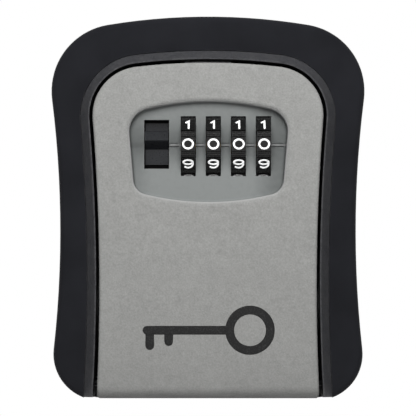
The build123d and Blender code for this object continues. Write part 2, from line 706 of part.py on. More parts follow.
with BuildPart() as lock_case_screws:
    case_screw_places = CASE_SCREWS_UPPER + CASE_SCREWS_LOWER
    with BuildSketch(front(CASE_REAR - CASE_SCREW_HEAD_HEIGHT)):
        with Locations(*case_screw_places):
            Circle(CASE_SCREW_HEAD_RADIUS)
    extrude(amount=CASE_SCREW_HEAD_HEIGHT)
    head_faces = lock_case_screws.faces().filter_by(Axis.Y).group_by(Axis.Y)[-1]
    fillet(head_faces.edges(), radius=CASE_SCREW_HEAD_EDGE)
    with BuildSketch(front(CASE_REAR)):
        with Locations(*case_screw_places):
            Circle(CASE_SCREW_RADIUS)
    extrude(amount=CASE_SCREW_LENGTH)
    with BuildSketch(front(CASE_REAR - CASE_SCREW_HEAD_HEIGHT)):
        with Locations(*case_screw_places):
            add(cross_recess(*CASE_SCREW_SLOT))
    extrude(amount=CASE_SCREW_SLOT_DEPTH, mode=Mode.SUBTRACT)
finish(lock_case_screws, "lock_case_screws")

# ---------------------------------------------------------------- detent comb

with BuildPart() as detent_comb:
    with BuildSketch(front(COMB_REAR)):
        add(rectangle_between(*COMB_BASE))
        for centre in DIAL_CENTRES:
            tine = (centre - COMB_TINE_HALF_WIDTH, centre + COMB_TINE_HALF_WIDTH)
            add(rectangle_between(tine, (COMB_TINE_LOW, COMB_TINE_TIP)))
        with Locations(*COMB_SCREWS):
            Circle(COMB_SCREW_RADIUS, mode=Mode.SUBTRACT)
    extrude(amount=COMB_THICKNESS)
    for centre in DIAL_CENTRES:
        with BuildSketch(side(centre + COMB_TINE_HALF_WIDTH)):
            with BuildLine():
                Polyline(*COMB_BUMP, close=True)
            make_face()
        extrude(amount=2 * COMB_TINE_HALF_WIDTH)
finish(detent_comb, "detent_comb")

with BuildPart() as detent_screws:
    with BuildSketch(front(COMB_SCREW_REAR)):
        with Locations(*COMB_SCREWS):
            Circle(COMB_SCREW_RADIUS)
    extrude(amount=COMB_REAR + COMB_THICKNESS - COMB_SCREW_REAR)
    with BuildSketch(front(COMB_REAR + COMB_THICKNESS)):
        with Locations(*COMB_SCREWS):
            Circle(COMB_SCREW_HEAD_RADIUS)
    extrude(amount=COMB_SCREW_HEAD_HEIGHT)
finish(detent_screws, "detent_screws")

# ---------------------------------------------------------------- latch

with BuildPart() as latch_plate:
    with BuildSketch(front(LATCH_REAR)):
        add(rectangle_between((BAR_LEFT, BAR_RIGHT), (BAR_LOW, BAR_HIGH)))
        add(rectangle_between((BAR_LEFT, ARM_RIGHT), (ARM_BOTTOM, BAR_HIGH)))
        add(rectangle_between((-TONGUE_HALF_WIDTH, TONGUE_HALF_WIDTH), (BAR_LOW, TONGUE_TOP)))
        for centre in DIAL_CENTRES:
            right_face = centre + DIAL_WIDTH / 2
            finger = (right_face + FENCE_START, right_face + FENCE_END)
            add(rectangle_between(finger, (DIAL_HEIGHT + FENCE_TIP, BAR_LOW + FENCE_ROOTING)))
        notch_half_width = UPPER_BOSS_RADIUS + BOSS_CLEARANCE
        for boss in CASE_SCREWS_UPPER:
            notch = (boss[0] - notch_half_width, boss[0] + notch_half_width)
            add(rectangle_between(notch, BOSS_NOTCH), mode=Mode.SUBTRACT)
        with Locations(*RIVETS):
            Circle(RIVET_RADIUS, mode=Mode.SUBTRACT)
    extrude(amount=LATCH_THICKNESS)
finish(latch_plate, "latch_plate")

with BuildPart() as release_button:
    foot_rear = LATCH_REAR + LATCH_THICKNESS
    with BuildSketch(front(foot_rear)):
        add(rectangle_between((BAR_LEFT, ARM_RIGHT), BUTTON_FOOT))
    extrude(amount=SHUTTER_REAR - foot_rear)
    # Shutter that keeps the slot closed all the way along the travel
    with BuildSketch(front(SHUTTER_REAR)):
        add(rectangle_between(*SHUTTER))
    extrude(amount=BUTTON_PAD_REAR - SHUTTER_REAR)
    # Visible pad, and the ridge for the thumb
    pad = (SLIDER_X - BUTTON_WIDTH / 2, SLIDER_X + BUTTON_WIDTH / 2)
    with BuildSketch(front(BUTTON_PAD_REAR)):
        add(rectangle_between(pad, BUTTON_PAD))
    extrude(amount=BUTTON_PAD_FRONT - BUTTON_PAD_REAR)
    with BuildSketch(side(pad[1])):
        with BuildLine():
            Polyline(*THUMB_RIDGE, close=True)
        make_face()
    extrude(amount=BUTTON_WIDTH)
    fillet(release_button.edges().filter_by(Axis.X).sort_by(Axis.Y)[:2], radius=RIDGE_EDGE_RADIUS)
    with BuildSketch(front(foot_rear)):
        with Locations(*RIVETS):
            Circle(RIVET_RADIUS)
    extrude(amount=RIVET_REACH, mode=Mode.SUBTRACT)
finish(release_button, "release_button")

with BuildPart() as latch_rivets:
    with BuildSketch(front(LATCH_REAR - RIVET_HEAD_HEIGHT)):
        with Locations(*RIVETS):
            Circle(RIVET_HEAD_RADIUS)
    extrude(amount=RIVET_HEAD_HEIGHT)
    with BuildSketch(front(LATCH_REAR)):
        with Locations(*RIVETS):
            Circle(RIVET_RADIUS)
    extrude(amount=LATCH_THICKNESS + RIVET_REACH)
finish(latch_rivets, "latch_rivets")


def spring_tube(place, low, high):
    """The envelope of a coil spring that stands upright at a place (x, depth)."""
    with BuildPart() as tube:
        with BuildSketch(Plane.XY.offset(low)):
            with Locations((place[0], -place[1])):
                Circle(SPRING_RADIUS)
                Circle(SPRING_INNER_RADIUS, mode=Mode.SUBTRACT)
        extrude(amount=high - low)
    return tube


finish(spring_tube(SPRING_LEFT_PLACE, LEFT_SPRING_SHELF[1][1], ARM_BOTTOM), "latch_spring_left")
finish(spring_tube(SPRING_RIGHT_PLACE, RIGHT_SPRING_SHELF[1][1], BAR_LOW), "latch_spring_right")

# ---------------------------------------------------------------- shaft, clip and fork

with BuildPart() as dial_shaft:
    with BuildSketch(side(SHAFT_RIGHT)):
        with Locations((DIAL_DEPTH, DIAL_HEIGHT)):
            Circle(SHAFT_RADIUS)
    extrude(amount=SHAFT_RIGHT - SHAFT_LEFT)
    with BuildSketch(side(CLIP_RIGHT)):
        with Locations((DIAL_DEPTH, DIAL_HEIGHT)):
            Circle(CLIP_RADIUS)
            Circle(SHAFT_RADIUS - CLIP_GROOVE_DEPTH, mode=Mode.SUBTRACT)
    extrude(amount=CLIP_RIGHT - CLIP_LEFT, mode=Mode.SUBTRACT)
finish(dial_shaft, "dial_shaft")

with BuildPart() as shaft_clip:
    with BuildSketch(side(CLIP_RIGHT)):
        with Locations((DIAL_DEPTH, DIAL_HEIGHT)):
            Circle(CLIP_RADIUS)
            Circle(SHAFT_RADIUS - CLIP_GROOVE_DEPTH, mode=Mode.SUBTRACT)
        mouth = (DIAL_DEPTH - CLIP_MOUTH / 2, DIAL_DEPTH + CLIP_MOUTH / 2)
        add(rectangle_between(mouth, (DIAL_HEIGHT - CLIP_RADIUS, DIAL_HEIGHT)), mode=Mode.SUBTRACT)
    extrude(amount=CLIP_RIGHT - CLIP_LEFT)
finish(shaft_clip, "shaft_clip")

with BuildPart() as shift_fork:
    with BuildSketch(side(FORK_RIGHT)):
        add(rectangle_between((FORK_REAR, DIAL_DEPTH), (FORK_ARM_LOW, FORK_ARM_HIGH)))
        with Locations((DIAL_DEPTH, DIAL_HEIGHT)):
            Circle(FORK_RING_RADIUS)
            Circle(SHAFT_RADIUS, mode=Mode.SUBTRACT)
    extrude(amount=FORK_RIGHT - FORK_LEFT)
    slot_half_width = LEVER_PIN_RADIUS + RUNNING_CLEARANCE
    with BuildSketch(front(FORK_REAR)):
        add(rectangle_between((FORK_LEFT, FORK_PLATE_RIGHT), (FORK_ARM_LOW, FORK_PLATE_HIGH)))
        slot_sides = (FORK_SLOT_X - slot_half_width, FORK_SLOT_X + slot_half_width)
        add(rectangle_between(slot_sides, (FORK_SLOT_LOW, FORK_PLATE_HIGH)), mode=Mode.SUBTRACT)
    extrude(amount=FORK_PLATE_THICKNESS)
finish(shift_fork, "shift_fork")

# ---------------------------------------------------------------- dials and code sleeves

sleeve_left = CLIP_RIGHT + RUNNING_CLEARANCE
for index, centre in enumerate(DIAL_CENTRES):
    left_face = centre - DIAL_WIDTH / 2
    right_face = centre + DIAL_WIDTH / 2
    if centre == DIAL_CENTRES[-1]:
        sleeve_right = FORK_LEFT - RUNNING_CLEARANCE
    else:
        sleeve_right = right_face + SLEEVE_RIGHT_END
    with BuildPart() as dial:
        with BuildSketch(side(right_face)):
            with Locations((DIAL_DEPTH, DIAL_HEIGHT)):
                add(dial_face())
        extrude(amount=DIAL_WIDTH)
        # Softened rims
        with BuildSketch(side(right_face)):
            with Locations((DIAL_DEPTH, DIAL_HEIGHT)):
                Circle(DIAL_RADIUS)
        extrude(amount=DIAL_WIDTH, mode=Mode.INTERSECT)
        # Bore that runs on the sleeve, recess for its flange, and toothed seat for its clutch
        with BuildSketch(side(right_face)):
            with Locations((DIAL_DEPTH, DIAL_HEIGHT)):
                Circle(SLEEVE_HUB_RADIUS + RUNNING_CLEARANCE)
        extrude(amount=DIAL_WIDTH, mode=Mode.SUBTRACT)
        with BuildSketch(side(right_face)):
            with Locations((DIAL_DEPTH, DIAL_HEIGHT)):
                Circle(DIAL_RECESS_RADIUS)
        extrude(amount=DIAL_RECESS_DEPTH, mode=Mode.SUBTRACT)
        with BuildSketch(side(left_face + CLUTCH_LENGTH + 2 * CLUTCH_CLEARANCE)):
            with Locations((DIAL_DEPTH, DIAL_HEIGHT)):
                seat_root = CLUTCH_ROOT + CLUTCH_CLEARANCE
                seat_tip = CLUTCH_TIP + CLUTCH_CLEARANCE
                add(spline_face(seat_root, seat_tip, CLUTCH_TOOTH + 2 * CLUTCH_CLEARANCE))
        extrude(amount=CLUTCH_LENGTH + 2 * CLUTCH_CLEARANCE, mode=Mode.SUBTRACT)
    finish(dial, f"dial_{index + 1}")

    with BuildPart() as sleeve:
        with BuildSketch(side(right_face + FLANGE_END)):
            with Locations((DIAL_DEPTH, DIAL_HEIGHT)):
                Circle(FLANGE_RADIUS)
            gate = (DIAL_DEPTH - GATE_WIDTH / 2, DIAL_DEPTH + GATE_WIDTH / 2)
            gate_heights = (DIAL_HEIGHT + GATE_FLOOR, DIAL_HEIGHT + OVERRUN)
            add(rectangle_between(gate, gate_heights), mode=Mode.SUBTRACT)
        extrude(amount=FLANGE_END - FLANGE_START)
        with BuildSketch(side(left_face + RUNNING_CLEARANCE + CLUTCH_LENGTH)):
            with Locations((DIAL_DEPTH, DIAL_HEIGHT)):
                add(spline_face(CLUTCH_ROOT, CLUTCH_TIP, CLUTCH_TOOTH))
        extrude(amount=CLUTCH_LENGTH)
        with BuildSketch(side(sleeve_right)):
            with Locations((DIAL_DEPTH, DIAL_HEIGHT)):
                Circle(SLEEVE_HUB_RADIUS)
        extrude(amount=sleeve_right - sleeve_left)
        with BuildSketch(side(sleeve_right)):
            with Locations((DIAL_DEPTH, DIAL_HEIGHT)):
                Circle(SHAFT_RADIUS + RUNNING_CLEARANCE)
        extrude(amount=sleeve_right - sleeve_left, mode=Mode.SUBTRACT)
    finish(sleeve, f"sleeve_{index + 1}")
    sleeve_left = sleeve_right + RUNNING_CLEARANCE

# ---------------------------------------------------------------- code-change lever

pin_angle = radians(90.0 - LEVER_HALF_SWING)
pin_place = (LEVER_X + LEVER_THROW * cos(pin_angle), DIAL_HEIGHT + LEVER_THROW * sin(pin_angle))
arm_angle = radians(180.0 - LEVER_HALF_SWING)
arm_tip = (
    LEVER_X + LEVER_ARM_LENGTH * cos(arm_angle),
    DIAL_HEIGHT + LEVER_ARM_LENGTH * sin(arm_angle),
)

with BuildPart() as reset_lever:
    with BuildSketch(front(LEVER_REAR)):
        with Locations((LEVER_X, DIAL_HEIGHT)):
            Circle(LEVER_HUB_RADIUS)
        with Locations(arm_tip):
            Circle(LEVER_ARM_WIDTH / 2)
        middle = ((LEVER_X + arm_tip[0]) / 2, (DIAL_HEIGHT + arm_tip[1]) / 2)
        with Locations(Location(middle + (0,), -LEVER_HALF_SWING)):
            Rectangle(LEVER_ARM_LENGTH, LEVER_ARM_WIDTH)
    extrude(amount=LEVER_THICKNESS)
    with BuildSketch(front(LEVER_REAR - LEVER_KNOB_HEIGHT)):
        with Locations(arm_tip):
            Circle(LEVER_KNOB_RADIUS)
    extrude(amount=LEVER_KNOB_HEIGHT)
    with BuildSketch(front(LEVER_REAR + LEVER_THICKNESS)):
        with Locations((LEVER_X, DIAL_HEIGHT)):
            Circle(LEVER_BOSS_RADIUS)
    extrude(amount=LEVER_SHOULDER - LEVER_REAR - LEVER_THICKNESS)
    with BuildSketch(front(LEVER_SHOULDER)):
        with Locations(pin_place):
            Circle(LEVER_PIN_RADIUS)
    extrude(amount=LEVER_PIN_TIP - LEVER_SHOULDER)
finish(reset_lever, "reset_lever")

with BuildPart() as lever_clip:
    with BuildSketch(front(CASE_INNER + RUNNING_CLEARANCE)):
        with Locations((LEVER_X, DIAL_HEIGHT)):
            Circle(LEVER_CLIP_RADIUS)
            Circle(LEVER_BOSS_RADIUS, mode=Mode.SUBTRACT)
    extrude(amount=LEVER_CLIP_THICKNESS)
finish(lever_clip, "lever_clip")
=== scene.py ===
import json
from math import cos, radians, sin, tau

import bmesh
import bpy
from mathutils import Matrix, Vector


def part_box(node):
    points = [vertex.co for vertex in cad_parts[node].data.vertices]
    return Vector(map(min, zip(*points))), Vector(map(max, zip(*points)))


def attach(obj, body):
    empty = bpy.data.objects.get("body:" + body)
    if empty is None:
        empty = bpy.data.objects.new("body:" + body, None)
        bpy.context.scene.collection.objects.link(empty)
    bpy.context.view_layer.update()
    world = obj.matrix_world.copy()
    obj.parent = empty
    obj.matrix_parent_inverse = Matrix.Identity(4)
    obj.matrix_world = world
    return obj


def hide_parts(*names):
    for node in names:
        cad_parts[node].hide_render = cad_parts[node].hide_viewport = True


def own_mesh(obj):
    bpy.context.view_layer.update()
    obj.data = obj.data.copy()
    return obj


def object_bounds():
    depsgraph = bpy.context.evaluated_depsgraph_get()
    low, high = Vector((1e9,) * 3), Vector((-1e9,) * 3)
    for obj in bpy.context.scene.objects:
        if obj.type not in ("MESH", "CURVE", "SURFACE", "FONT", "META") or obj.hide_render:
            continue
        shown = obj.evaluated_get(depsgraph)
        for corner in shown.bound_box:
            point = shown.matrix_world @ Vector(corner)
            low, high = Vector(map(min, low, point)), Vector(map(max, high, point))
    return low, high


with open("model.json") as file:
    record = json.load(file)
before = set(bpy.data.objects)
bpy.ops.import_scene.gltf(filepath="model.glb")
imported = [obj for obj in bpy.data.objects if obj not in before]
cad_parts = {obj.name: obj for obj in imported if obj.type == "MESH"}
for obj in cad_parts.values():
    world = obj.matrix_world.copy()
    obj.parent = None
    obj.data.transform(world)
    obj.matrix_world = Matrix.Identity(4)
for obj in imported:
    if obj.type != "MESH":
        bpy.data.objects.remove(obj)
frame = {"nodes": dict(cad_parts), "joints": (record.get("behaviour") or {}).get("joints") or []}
cad_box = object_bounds()

# Key lock box: metres, +X right, +Z up, the door faces -Y. The pieces' places are worked out from
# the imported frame. Below are the camera, the light, and the sizes of the details that are only
# in the visual model or in a finish.

MM = 0.001
NODES = frame["nodes"]

# Camera: level with the middle of the box, straight in front of the door
CAMERA_DISTANCE = 340 * MM
CAMERA_LENS = 88.5
CAMERA_SENSOR = 36.0
CAMERA_CLIP = (0.01, 20.0)

# Cyclorama: a floor below every view of the box, curving up into a pale surround
FLOOR_DROP = 0.5
SURROUND_RADIUS = 6.0
SURROUND_FLAT_SHARE = 0.6
SURROUND_SEGMENTS = 64
SURROUND_BEND_STEPS = 12

# Lamps: a large one above the camera and a weak one below it, both facing the door
LAMP_TARGET = (0.0, -0.03, 0.0)
LAMP_SIZE = 0.30
KEY_PLACE = (0.0, -0.43, 0.28)
KEY_POWER = 3.35
FILL_PLACE = (0.0, -0.30, -0.38)
FILL_POWER = 0.35

# Surrounding light: the direction of the glow in front, and the strength of it and of the glow
# behind, from one cosine to another
GLOW_DIRECTION = (0.0, -1.0, 0.06)
GLOW_RANGE = (0.80, 1.0, 0.11, 0.80)
BACK_RANGE = (0.0, 0.6, 0.0, 1.2)

# Door: its crown, the index line below the middle of the dials, how far the painted shade along the
# low edge reaches, and how far the window reaches past the dials and from the middle
CROWN_HEIGHT = -2 * MM
CROWN_RADIUS = 600 * MM
LINE_DROP = 0.075 * MM
LOW_SHADE_REACH = 16 * MM
WINDOW_BELOW = 9 * MM
WINDOW_ABOVE = 5 * MM
WINDOW_HALF_WIDTH = 27 * MM
MASK_EDGE = 0.5 * MM

# Tints of the finishes, as shares of red, green and blue
PAINT_TINT = (1.0, 1.005, 0.975)
FLOOR_TINT = (0.95, 1.0, 0.985)
FLOOR_SHADE_TINT = (0.94, 1.0, 0.985)
COVER_TINT = (0.96, 0.99, 1.18)
CASTING_TINT = (0.98, 0.99, 1.08)
MOULDED_TINT = (1.0, 1.0, 1.03)
BUTTON_TINT = (0.93, 1.0, 1.14)

# Dial figures
FIGURES = 10
FIGURE_HALF_WIDTH = 1.45 * MM
FIGURE_HALF_HEIGHT = 1.34 * MM
STROKE_WIDTH = 0.6 * MM
STROKE_HEIGHT = 0.05 * MM
ROUND_END_ANGLES = (35, 62, 84)
SHARPEST_MITRE = 0.5

# Section of a raised stroke, as shares of its half width and its height
STROKE_SECTION = ((-1.0, -0.4), (-0.86, 0.7), (-0.5, 1.0), (0.5, 1.0), (0.86, 0.7), (1.0, -0.4))

# Ridges beside each pad, and half-way between pads, as shares of the step between figures, painted paler
# as highlights
RIDGE_PLACE = 0.405
RIDGE_WIDTH = (0.008, 0.016)
MIDDLE_RIDGE = (0.478, 0.488)

# Key pictogram printed low on the door, placed from the door's lower left corner
KEY_CENTRE_SHARE = 0.5
KEY_HEIGHT_SHARE = 0.21
KEY_BOW_RADIUS = 6.0 * MM
KEY_BOW_OFFSET = 12.4 * MM
KEY_BLADE_REACH = 18.0 * MM
KEY_STROKE = 2.6 * MM
KEY_BITS = ((-17.2, 4.6), (-11.6, 3.4))
INK_LIFT = 0.03 * MM
INK_CROWN = 0.5
BOW_LAYER = 1.0
BLADE_LAYER = 0.7
BIT_LAYER = 0.4

# Latch springs
SPRING_WIRE = 0.45 * MM
SPRING_TURNS = 7
SPRING_CLOSED_TURNS = 0.9
SPRING_RING = 10
SPRING_STEPS_PER_TURN = 24

# Sockets of a Map Range node, in the order that ranges are given in
RANGE_SOCKETS = ("From Min", "From Max", "To Min", "To Max")


def joint(name):
    """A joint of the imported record, by name."""
    return next(entry for entry in frame["joints"] if entry["name"] == name)


# ---------------------------------------------------------------- finishes


class Finish:
    """A node material under construction, with its grain sizes in millimetres."""

    def __init__(self, name, metallic=0.0, specular=0.5, sheen=0.0):
        self.material = bpy.data.materials.new(name)
        self.material.use_nodes = True
        self.tree = self.material.node_tree
        self.tree.nodes.clear()
        output = self.node("ShaderNodeOutputMaterial")
        self.shader = self.node("ShaderNodeBsdfPrincipled")
        self.link(self.shader.outputs["BSDF"], output.inputs["Surface"])
        self.shader.inputs["Metallic"].default_value = metallic
        self.shader.inputs["Specular IOR Level"].default_value = specular
        self.shader.inputs["Sheen Weight"].default_value = sheen
        self.place = self.node("ShaderNodeTexCoord").outputs["Object"]

    def node(self, kind, **settings):
        made = self.tree.nodes.new(kind)
        for key, value in settings.items():
            setattr(made, key, value)
        return made

    def link(self, source, target):
        self.tree.links.new(source, target)

    def feed(self, socket, value):
        """Links a socket, or sets it when the value is a number or a colour."""
        if isinstance(value, bpy.types.NodeSocket):
            self.link(value, socket)
        else:
            socket.default_value = value

    def math(self, operation, first, second=0.0):
        made = self.node("ShaderNodeMath", operation=operation)
        self.feed(made.inputs[0], first)
        self.feed(made.inputs[1], second)
        return made.outputs[0]

    def stretched(self, x, y, z):
        """The place, stretched along the axes."""
        made = self.node("ShaderNodeVectorMath", operation="MULTIPLY")
        self.link(self.place, made.inputs[0])
        made.inputs[1].default_value = (x, y, z)
        return made.outputs[0]

    def noise(self, size, detail=2.0, roughness=0.5, vector=None):
        """Noise from 0 to 1 with blotches of a size in millimetres."""
        made = self.node("ShaderNodeTexNoise")
        made.inputs["Scale"].default_value = 1 / (size * MM)
        made.inputs["Detail"].default_value = detail
        made.inputs["Roughness"].default_value = roughness
        self.link(vector or self.place, made.inputs["Vector"])
        return made.outputs["Fac"]

    def spread(self, value, low, high, to_low=0.0, to_high=1.0, smooth=False):
        """The value mapped from one range to another, and clamped."""
        made = self.node("ShaderNodeMapRange", clamp=True)
        made.interpolation_type = "SMOOTHSTEP" if smooth else "LINEAR"
        self.link(value, made.inputs["Value"])
        for name, number in zip(RANGE_SOCKETS, (low, high, to_low, to_high)):
            made.inputs[name].default_value = number
        return made.outputs["Result"]

    def mix(self, share, first, second):
        """One colour turning into another."""
        made = self.node("ShaderNodeMix", data_type="RGBA")
        self.feed(made.inputs[0], share)
        self.feed(made.inputs[6], first)
        self.feed(made.inputs[7], second)
        return made.outputs[2]

    def axes(self):
        """The place's three coordinates."""
        made = self.node("ShaderNodeSeparateXYZ")
        self.link(self.place, made.inputs[0])
        return made.outputs[0], made.outputs[1], made.outputs[2]

    def edges(self, radius):
        """How near the surface is to a sharp edge, from 0 to 1, within a radius in millimetres."""
        softness = 0.12
        rounded = self.node("ShaderNodeBevel", samples=6)
        rounded.inputs["Radius"].default_value = radius * MM
        flat = self.node("ShaderNodeNewGeometry").outputs["Normal"]
        turned = self.node("ShaderNodeVectorMath", operation="DOT_PRODUCT")
        self.link(rounded.outputs["Normal"], turned.inputs[0])
        self.link(flat, turned.inputs[1])
        return self.spread(turned.outputs["Value"], 1 - softness, 1 - softness / 6, 1.0, 0.0)

    def colour(self, value):
        self.link(value, self.shader.inputs["Base Color"])

    def roughness(self, value):
        self.link(value, self.shader.inputs["Roughness"])

    def bump(self, *layers):
        """Relief from (height, depth in millimetres) layers."""
        normal = None
        for height, depth in layers:
            made = self.node("ShaderNodeBump")
            made.inputs["Strength"].default_value = 1.0
            made.inputs["Distance"].default_value = depth * MM
            self.link(height, made.inputs["Height"])
            if normal:
                self.link(normal, made.inputs["Normal"])
            normal = made.outputs["Normal"]
        self.link(normal, self.shader.inputs["Normal"])


def shade(level, tint=(1.0, 1.0, 1.0)):
    """A linear colour of a level, tinted."""
    return (level * tint[0], level * tint[1], level * tint[2], 1.0)


def door_paint():
    """Grey enamel with a fine mottle; the window's floor is smoother and bluer, with painted light and
    shade on it.
    """
    finish = Finish("door_paint", specular=0.35)
    x, y, z = finish.axes()
    door_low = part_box("door_panel")[0]
    dial_low, dial_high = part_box("dial_1")
    dial_height = (dial_low.z + dial_high.z) / 2
    window_low = dial_low.z - WINDOW_BELOW
    window_high = dial_high.z + WINDOW_ABOVE
    # Depth below the crowned front, which is nothing on the front itself
    rise = finish.math("SUBTRACT", z, CROWN_HEIGHT)
    fall = finish.math("DIVIDE", finish.math("MULTIPLY", rise, rise), 2 * CROWN_RADIUS)
    below = finish.math("SUBTRACT", finish.math("SUBTRACT", y, door_low.y), fall)
    inside = finish.math(
        "MULTIPLY",
        finish.spread(z, window_low, window_low + MASK_EDGE),
        finish.spread(z, window_high, window_high + MASK_EDGE, 1.0, 0.0),
    )
    side = finish.math("ABSOLUTE", x)
    across = finish.spread(side, WINDOW_HALF_WIDTH, WINDOW_HALF_WIDTH + 2 * MASK_EDGE, 1.0, 0.0)
    inside = finish.math("MULTIPLY", inside, across)
    scoop = finish.math("MULTIPLY", finish.spread(below, 0.6 * MM, 1.6 * MM, smooth=True), inside)
    outside = finish.math("SUBTRACT", 1.0, inside)
    # Painted shade: the door's sides and the slot walls are painted near black, as the shade in the gaps
    gap_painted_shade = finish.math(
        "MAXIMUM",
        finish.math("MULTIPLY", finish.spread(below, 1.4 * MM, 2.6 * MM), outside),
        finish.math("MULTIPLY", finish.spread(below, 4.3 * MM, 4.5 * MM), inside),
    )
    grain = finish.noise(0.5, 3.0, 0.65)
    blotch = finish.noise(2.4, 3.0, 0.55)
    broad = finish.noise(14.0, 2.0, 0.5)
    level = finish.math("ADD", finish.math("MULTIPLY", grain, 0.66), finish.math("MULTIPLY", blotch, 0.24))
    level = finish.math("ADD", level, finish.math("MULTIPLY", broad, 0.1))
    painted = finish.mix(
        finish.spread(level, 0.32, 0.68),
        shade(0.202, PAINT_TINT),
        shade(0.302, PAINT_TINT),
    )
    # Painted shade: the paint darkens towards the low edge
    low_edge_painted_shade = finish.spread(z, door_low.z, door_low.z + LOW_SHADE_REACH, 0.16, 0.0, smooth=True)
    painted = finish.mix(low_edge_painted_shade, painted, shade(0.1))
    # The floor, with painted light and shade: paler low down, darker at the sides, with a pale index line
    # (a painted highlight) in a dark band (painted shade)
    lower = finish.spread(z, dial_height - 9 * MM, dial_height + 1 * MM, 1.0, 0.0, smooth=True)
    upper = finish.spread(z, dial_height, dial_height + 9 * MM, 0.0, 0.85, smooth=True)
    floor_painted_light = finish.math("MAXIMUM", lower, upper)
    off_centre = finish.math("ABSOLUTE", finish.math("ADD", x, 2 * MM))
    floor_painted_light = finish.math("MULTIPLY", floor_painted_light, finish.spread(off_centre, 13 * MM, 24 * MM, 1.0, 0.25, smooth=True))
    floor_painted_light = finish.math("ADD", floor_painted_light, finish.spread(finish.noise(1.8, 3.0), 0.3, 0.7, -0.08, 0.08))
    floor = finish.mix(floor_painted_light, shade(0.105, FLOOR_SHADE_TINT), shade(0.205, FLOOR_TINT))
    # Painted shade along the index line, and a painted highlight on the line itself
    line_distance = finish.math("ABSOLUTE", finish.math("SUBTRACT", z, dial_height - LINE_DROP))
    index_painted_shade = finish.spread(line_distance, 0.4 * MM, 1.2 * MM, 0.3, 0.0, smooth=True)
    floor = finish.mix(index_painted_shade, floor, shade(0.045))
    index_painted_highlight = finish.spread(line_distance, 0.22 * MM, 0.30 * MM, 0.45, 0.0)
    slider_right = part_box("release_button")[1].x
    index_painted_highlight = finish.math("MULTIPLY", index_painted_highlight, finish.spread(x, slider_right, slider_right + 0.1 * MM))
    floor = finish.mix(index_painted_highlight, floor, shade(0.24))
    base = finish.mix(scoop, painted, floor)
    # Painted highlight: the paint is paler where it rolls over the window's lip
    lip_painted_highlight = finish.math("MULTIPLY", finish.spread(below, 0.15 * MM, 0.5 * MM), inside)
    lip_painted_highlight = finish.math("MULTIPLY", lip_painted_highlight, finish.spread(below, 1.1 * MM, 1.6 * MM, 0.6, 0.0))
    base = finish.mix(lip_painted_highlight, base, shade(0.42))
    worn = finish.edges(0.35)
    worn = finish.math("MULTIPLY", worn, finish.spread(finish.noise(1.3, 3.0), 0.45, 0.65))
    base = finish.mix(finish.math("MULTIPLY", worn, 0.35), base, shade(0.42))
    finish.colour(finish.mix(finish.math("MULTIPLY", gap_painted_shade, 0.9), base, shade(0.02)))
    rough = finish.spread(grain, 0.3, 0.7, 0.5, 0.62)
    finish.roughness(rough)
    relief = finish.math("MULTIPLY", grain, finish.spread(scoop, 0.0, 1.0, 1.0, 0.15))
    finish.bump((relief, 0.07))
    return finish.material


def cover():
    """Black soft-touch plastic with a faint bloom and paler, rubbed edges."""
    finish = Finish("cover", specular=0.14, sheen=0.04)
    fine = finish.noise(0.3, 2.0)
    bloom = finish.noise(14.0, 4.0, 0.55)
    base = finish.mix(
        finish.spread(bloom, 0.3, 0.7),
        shade(0.0105, COVER_TINT),
        shade(0.0150, COVER_TINT),
    )
    worn = finish.math("MULTIPLY", finish.edges(0.5), finish.spread(finish.noise(2.0, 3.0), 0.4, 0.7))
    finish.colour(finish.mix(finish.math("MULTIPLY", worn, 0.4), base, shade(0.05)))
    finish.roughness(finish.spread(bloom, 0.3, 0.7, 0.68, 0.78))
    finish.bump((fine, 0.012))
    return finish.material


def casting():
    """Black powder coat over cast zinc, with a sandy grain; its inward walls are painted deeper black as
    shade.
    """
    finish = Finish("casting", specular=0.5)
    x, _, z = finish.axes()
    sand = finish.noise(0.42, 3.0, 0.7)
    blotch = finish.noise(3.0, 3.0, 0.6)
    base = finish.mix(
        finish.spread(sand, 0.35, 0.68),
        shade(0.020, CASTING_TINT),
        shade(0.074, CASTING_TINT),
    )
    base = finish.mix(finish.spread(blotch, 0.4, 0.75, 0.0, 0.35), base, shade(0.075))
    worn = finish.math("MULTIPLY", finish.edges(0.4), finish.spread(finish.noise(1.1, 3.0), 0.5, 0.65))
    base = finish.mix(finish.math("MULTIPLY", worn, 0.6), base, shade(0.12))
    # Painted shade: walls that face the middle, the inside of the compartment and of the gap round the
    # door, are painted near black
    split = finish.node("ShaderNodeSeparateXYZ")
    finish.link(finish.node("ShaderNodeNewGeometry").outputs["Normal"], split.inputs[0])
    inward = finish.math(
        "ADD",
        finish.math("MULTIPLY", split.outputs[0], x),
        finish.math("MULTIPLY", split.outputs[2], z),
    )
    inside = finish.spread(inward, -6 * MM, -2 * MM, 0.85, 0.0)
    finish.colour(finish.mix(inside, base, shade(0.008)))
    finish.roughness(finish.spread(sand, 0.3, 0.7, 0.45, 0.7))
    finish.bump((sand, 0.13))
    return finish.material


def moulded(name, level, roughness, grain, depth, tint=MOULDED_TINT, recess=None):
    """Moulded black plastic with a fine eroded texture; behind a given depth it is painted dark and less
    glossy as shade.
    """
    finish = Finish(name)
    fine = finish.noise(grain, 3.0, 0.6)
    cloud = finish.noise(4.0, 2.0)
    base = finish.mix(
        finish.spread(cloud, 0.3, 0.7), shade(level * 0.85, tint), shade(level * 1.15, tint)
    )
    # The edges are paler: wear, and a painted highlight along them
    worn = finish.math("MULTIPLY", finish.edges(0.25), finish.spread(finish.noise(0.8, 3.0), 0.35, 0.65))
    base = finish.mix(finish.math("MULTIPLY", worn, 0.6), base, shade(level * 5))
    rough = finish.spread(fine, 0.3, 0.7, roughness - 0.06, roughness + 0.08)
    if recess:
        # Painted shade: behind the depth the plastic is near black and less glossy
        recess_painted_shade = finish.spread(finish.axes()[1], recess, recess + 0.1 * MM)
        base = finish.mix(recess_painted_shade, base, shade(level * 0.1))
        finish.feed(finish.shader.inputs["Specular IOR Level"], finish.spread(recess_painted_shade, 0.0, 1.0, 0.5, 0.05))
    finish.colour(base)
    finish.roughness(rough)
    finish.bump((fine, depth))
    return finish.material


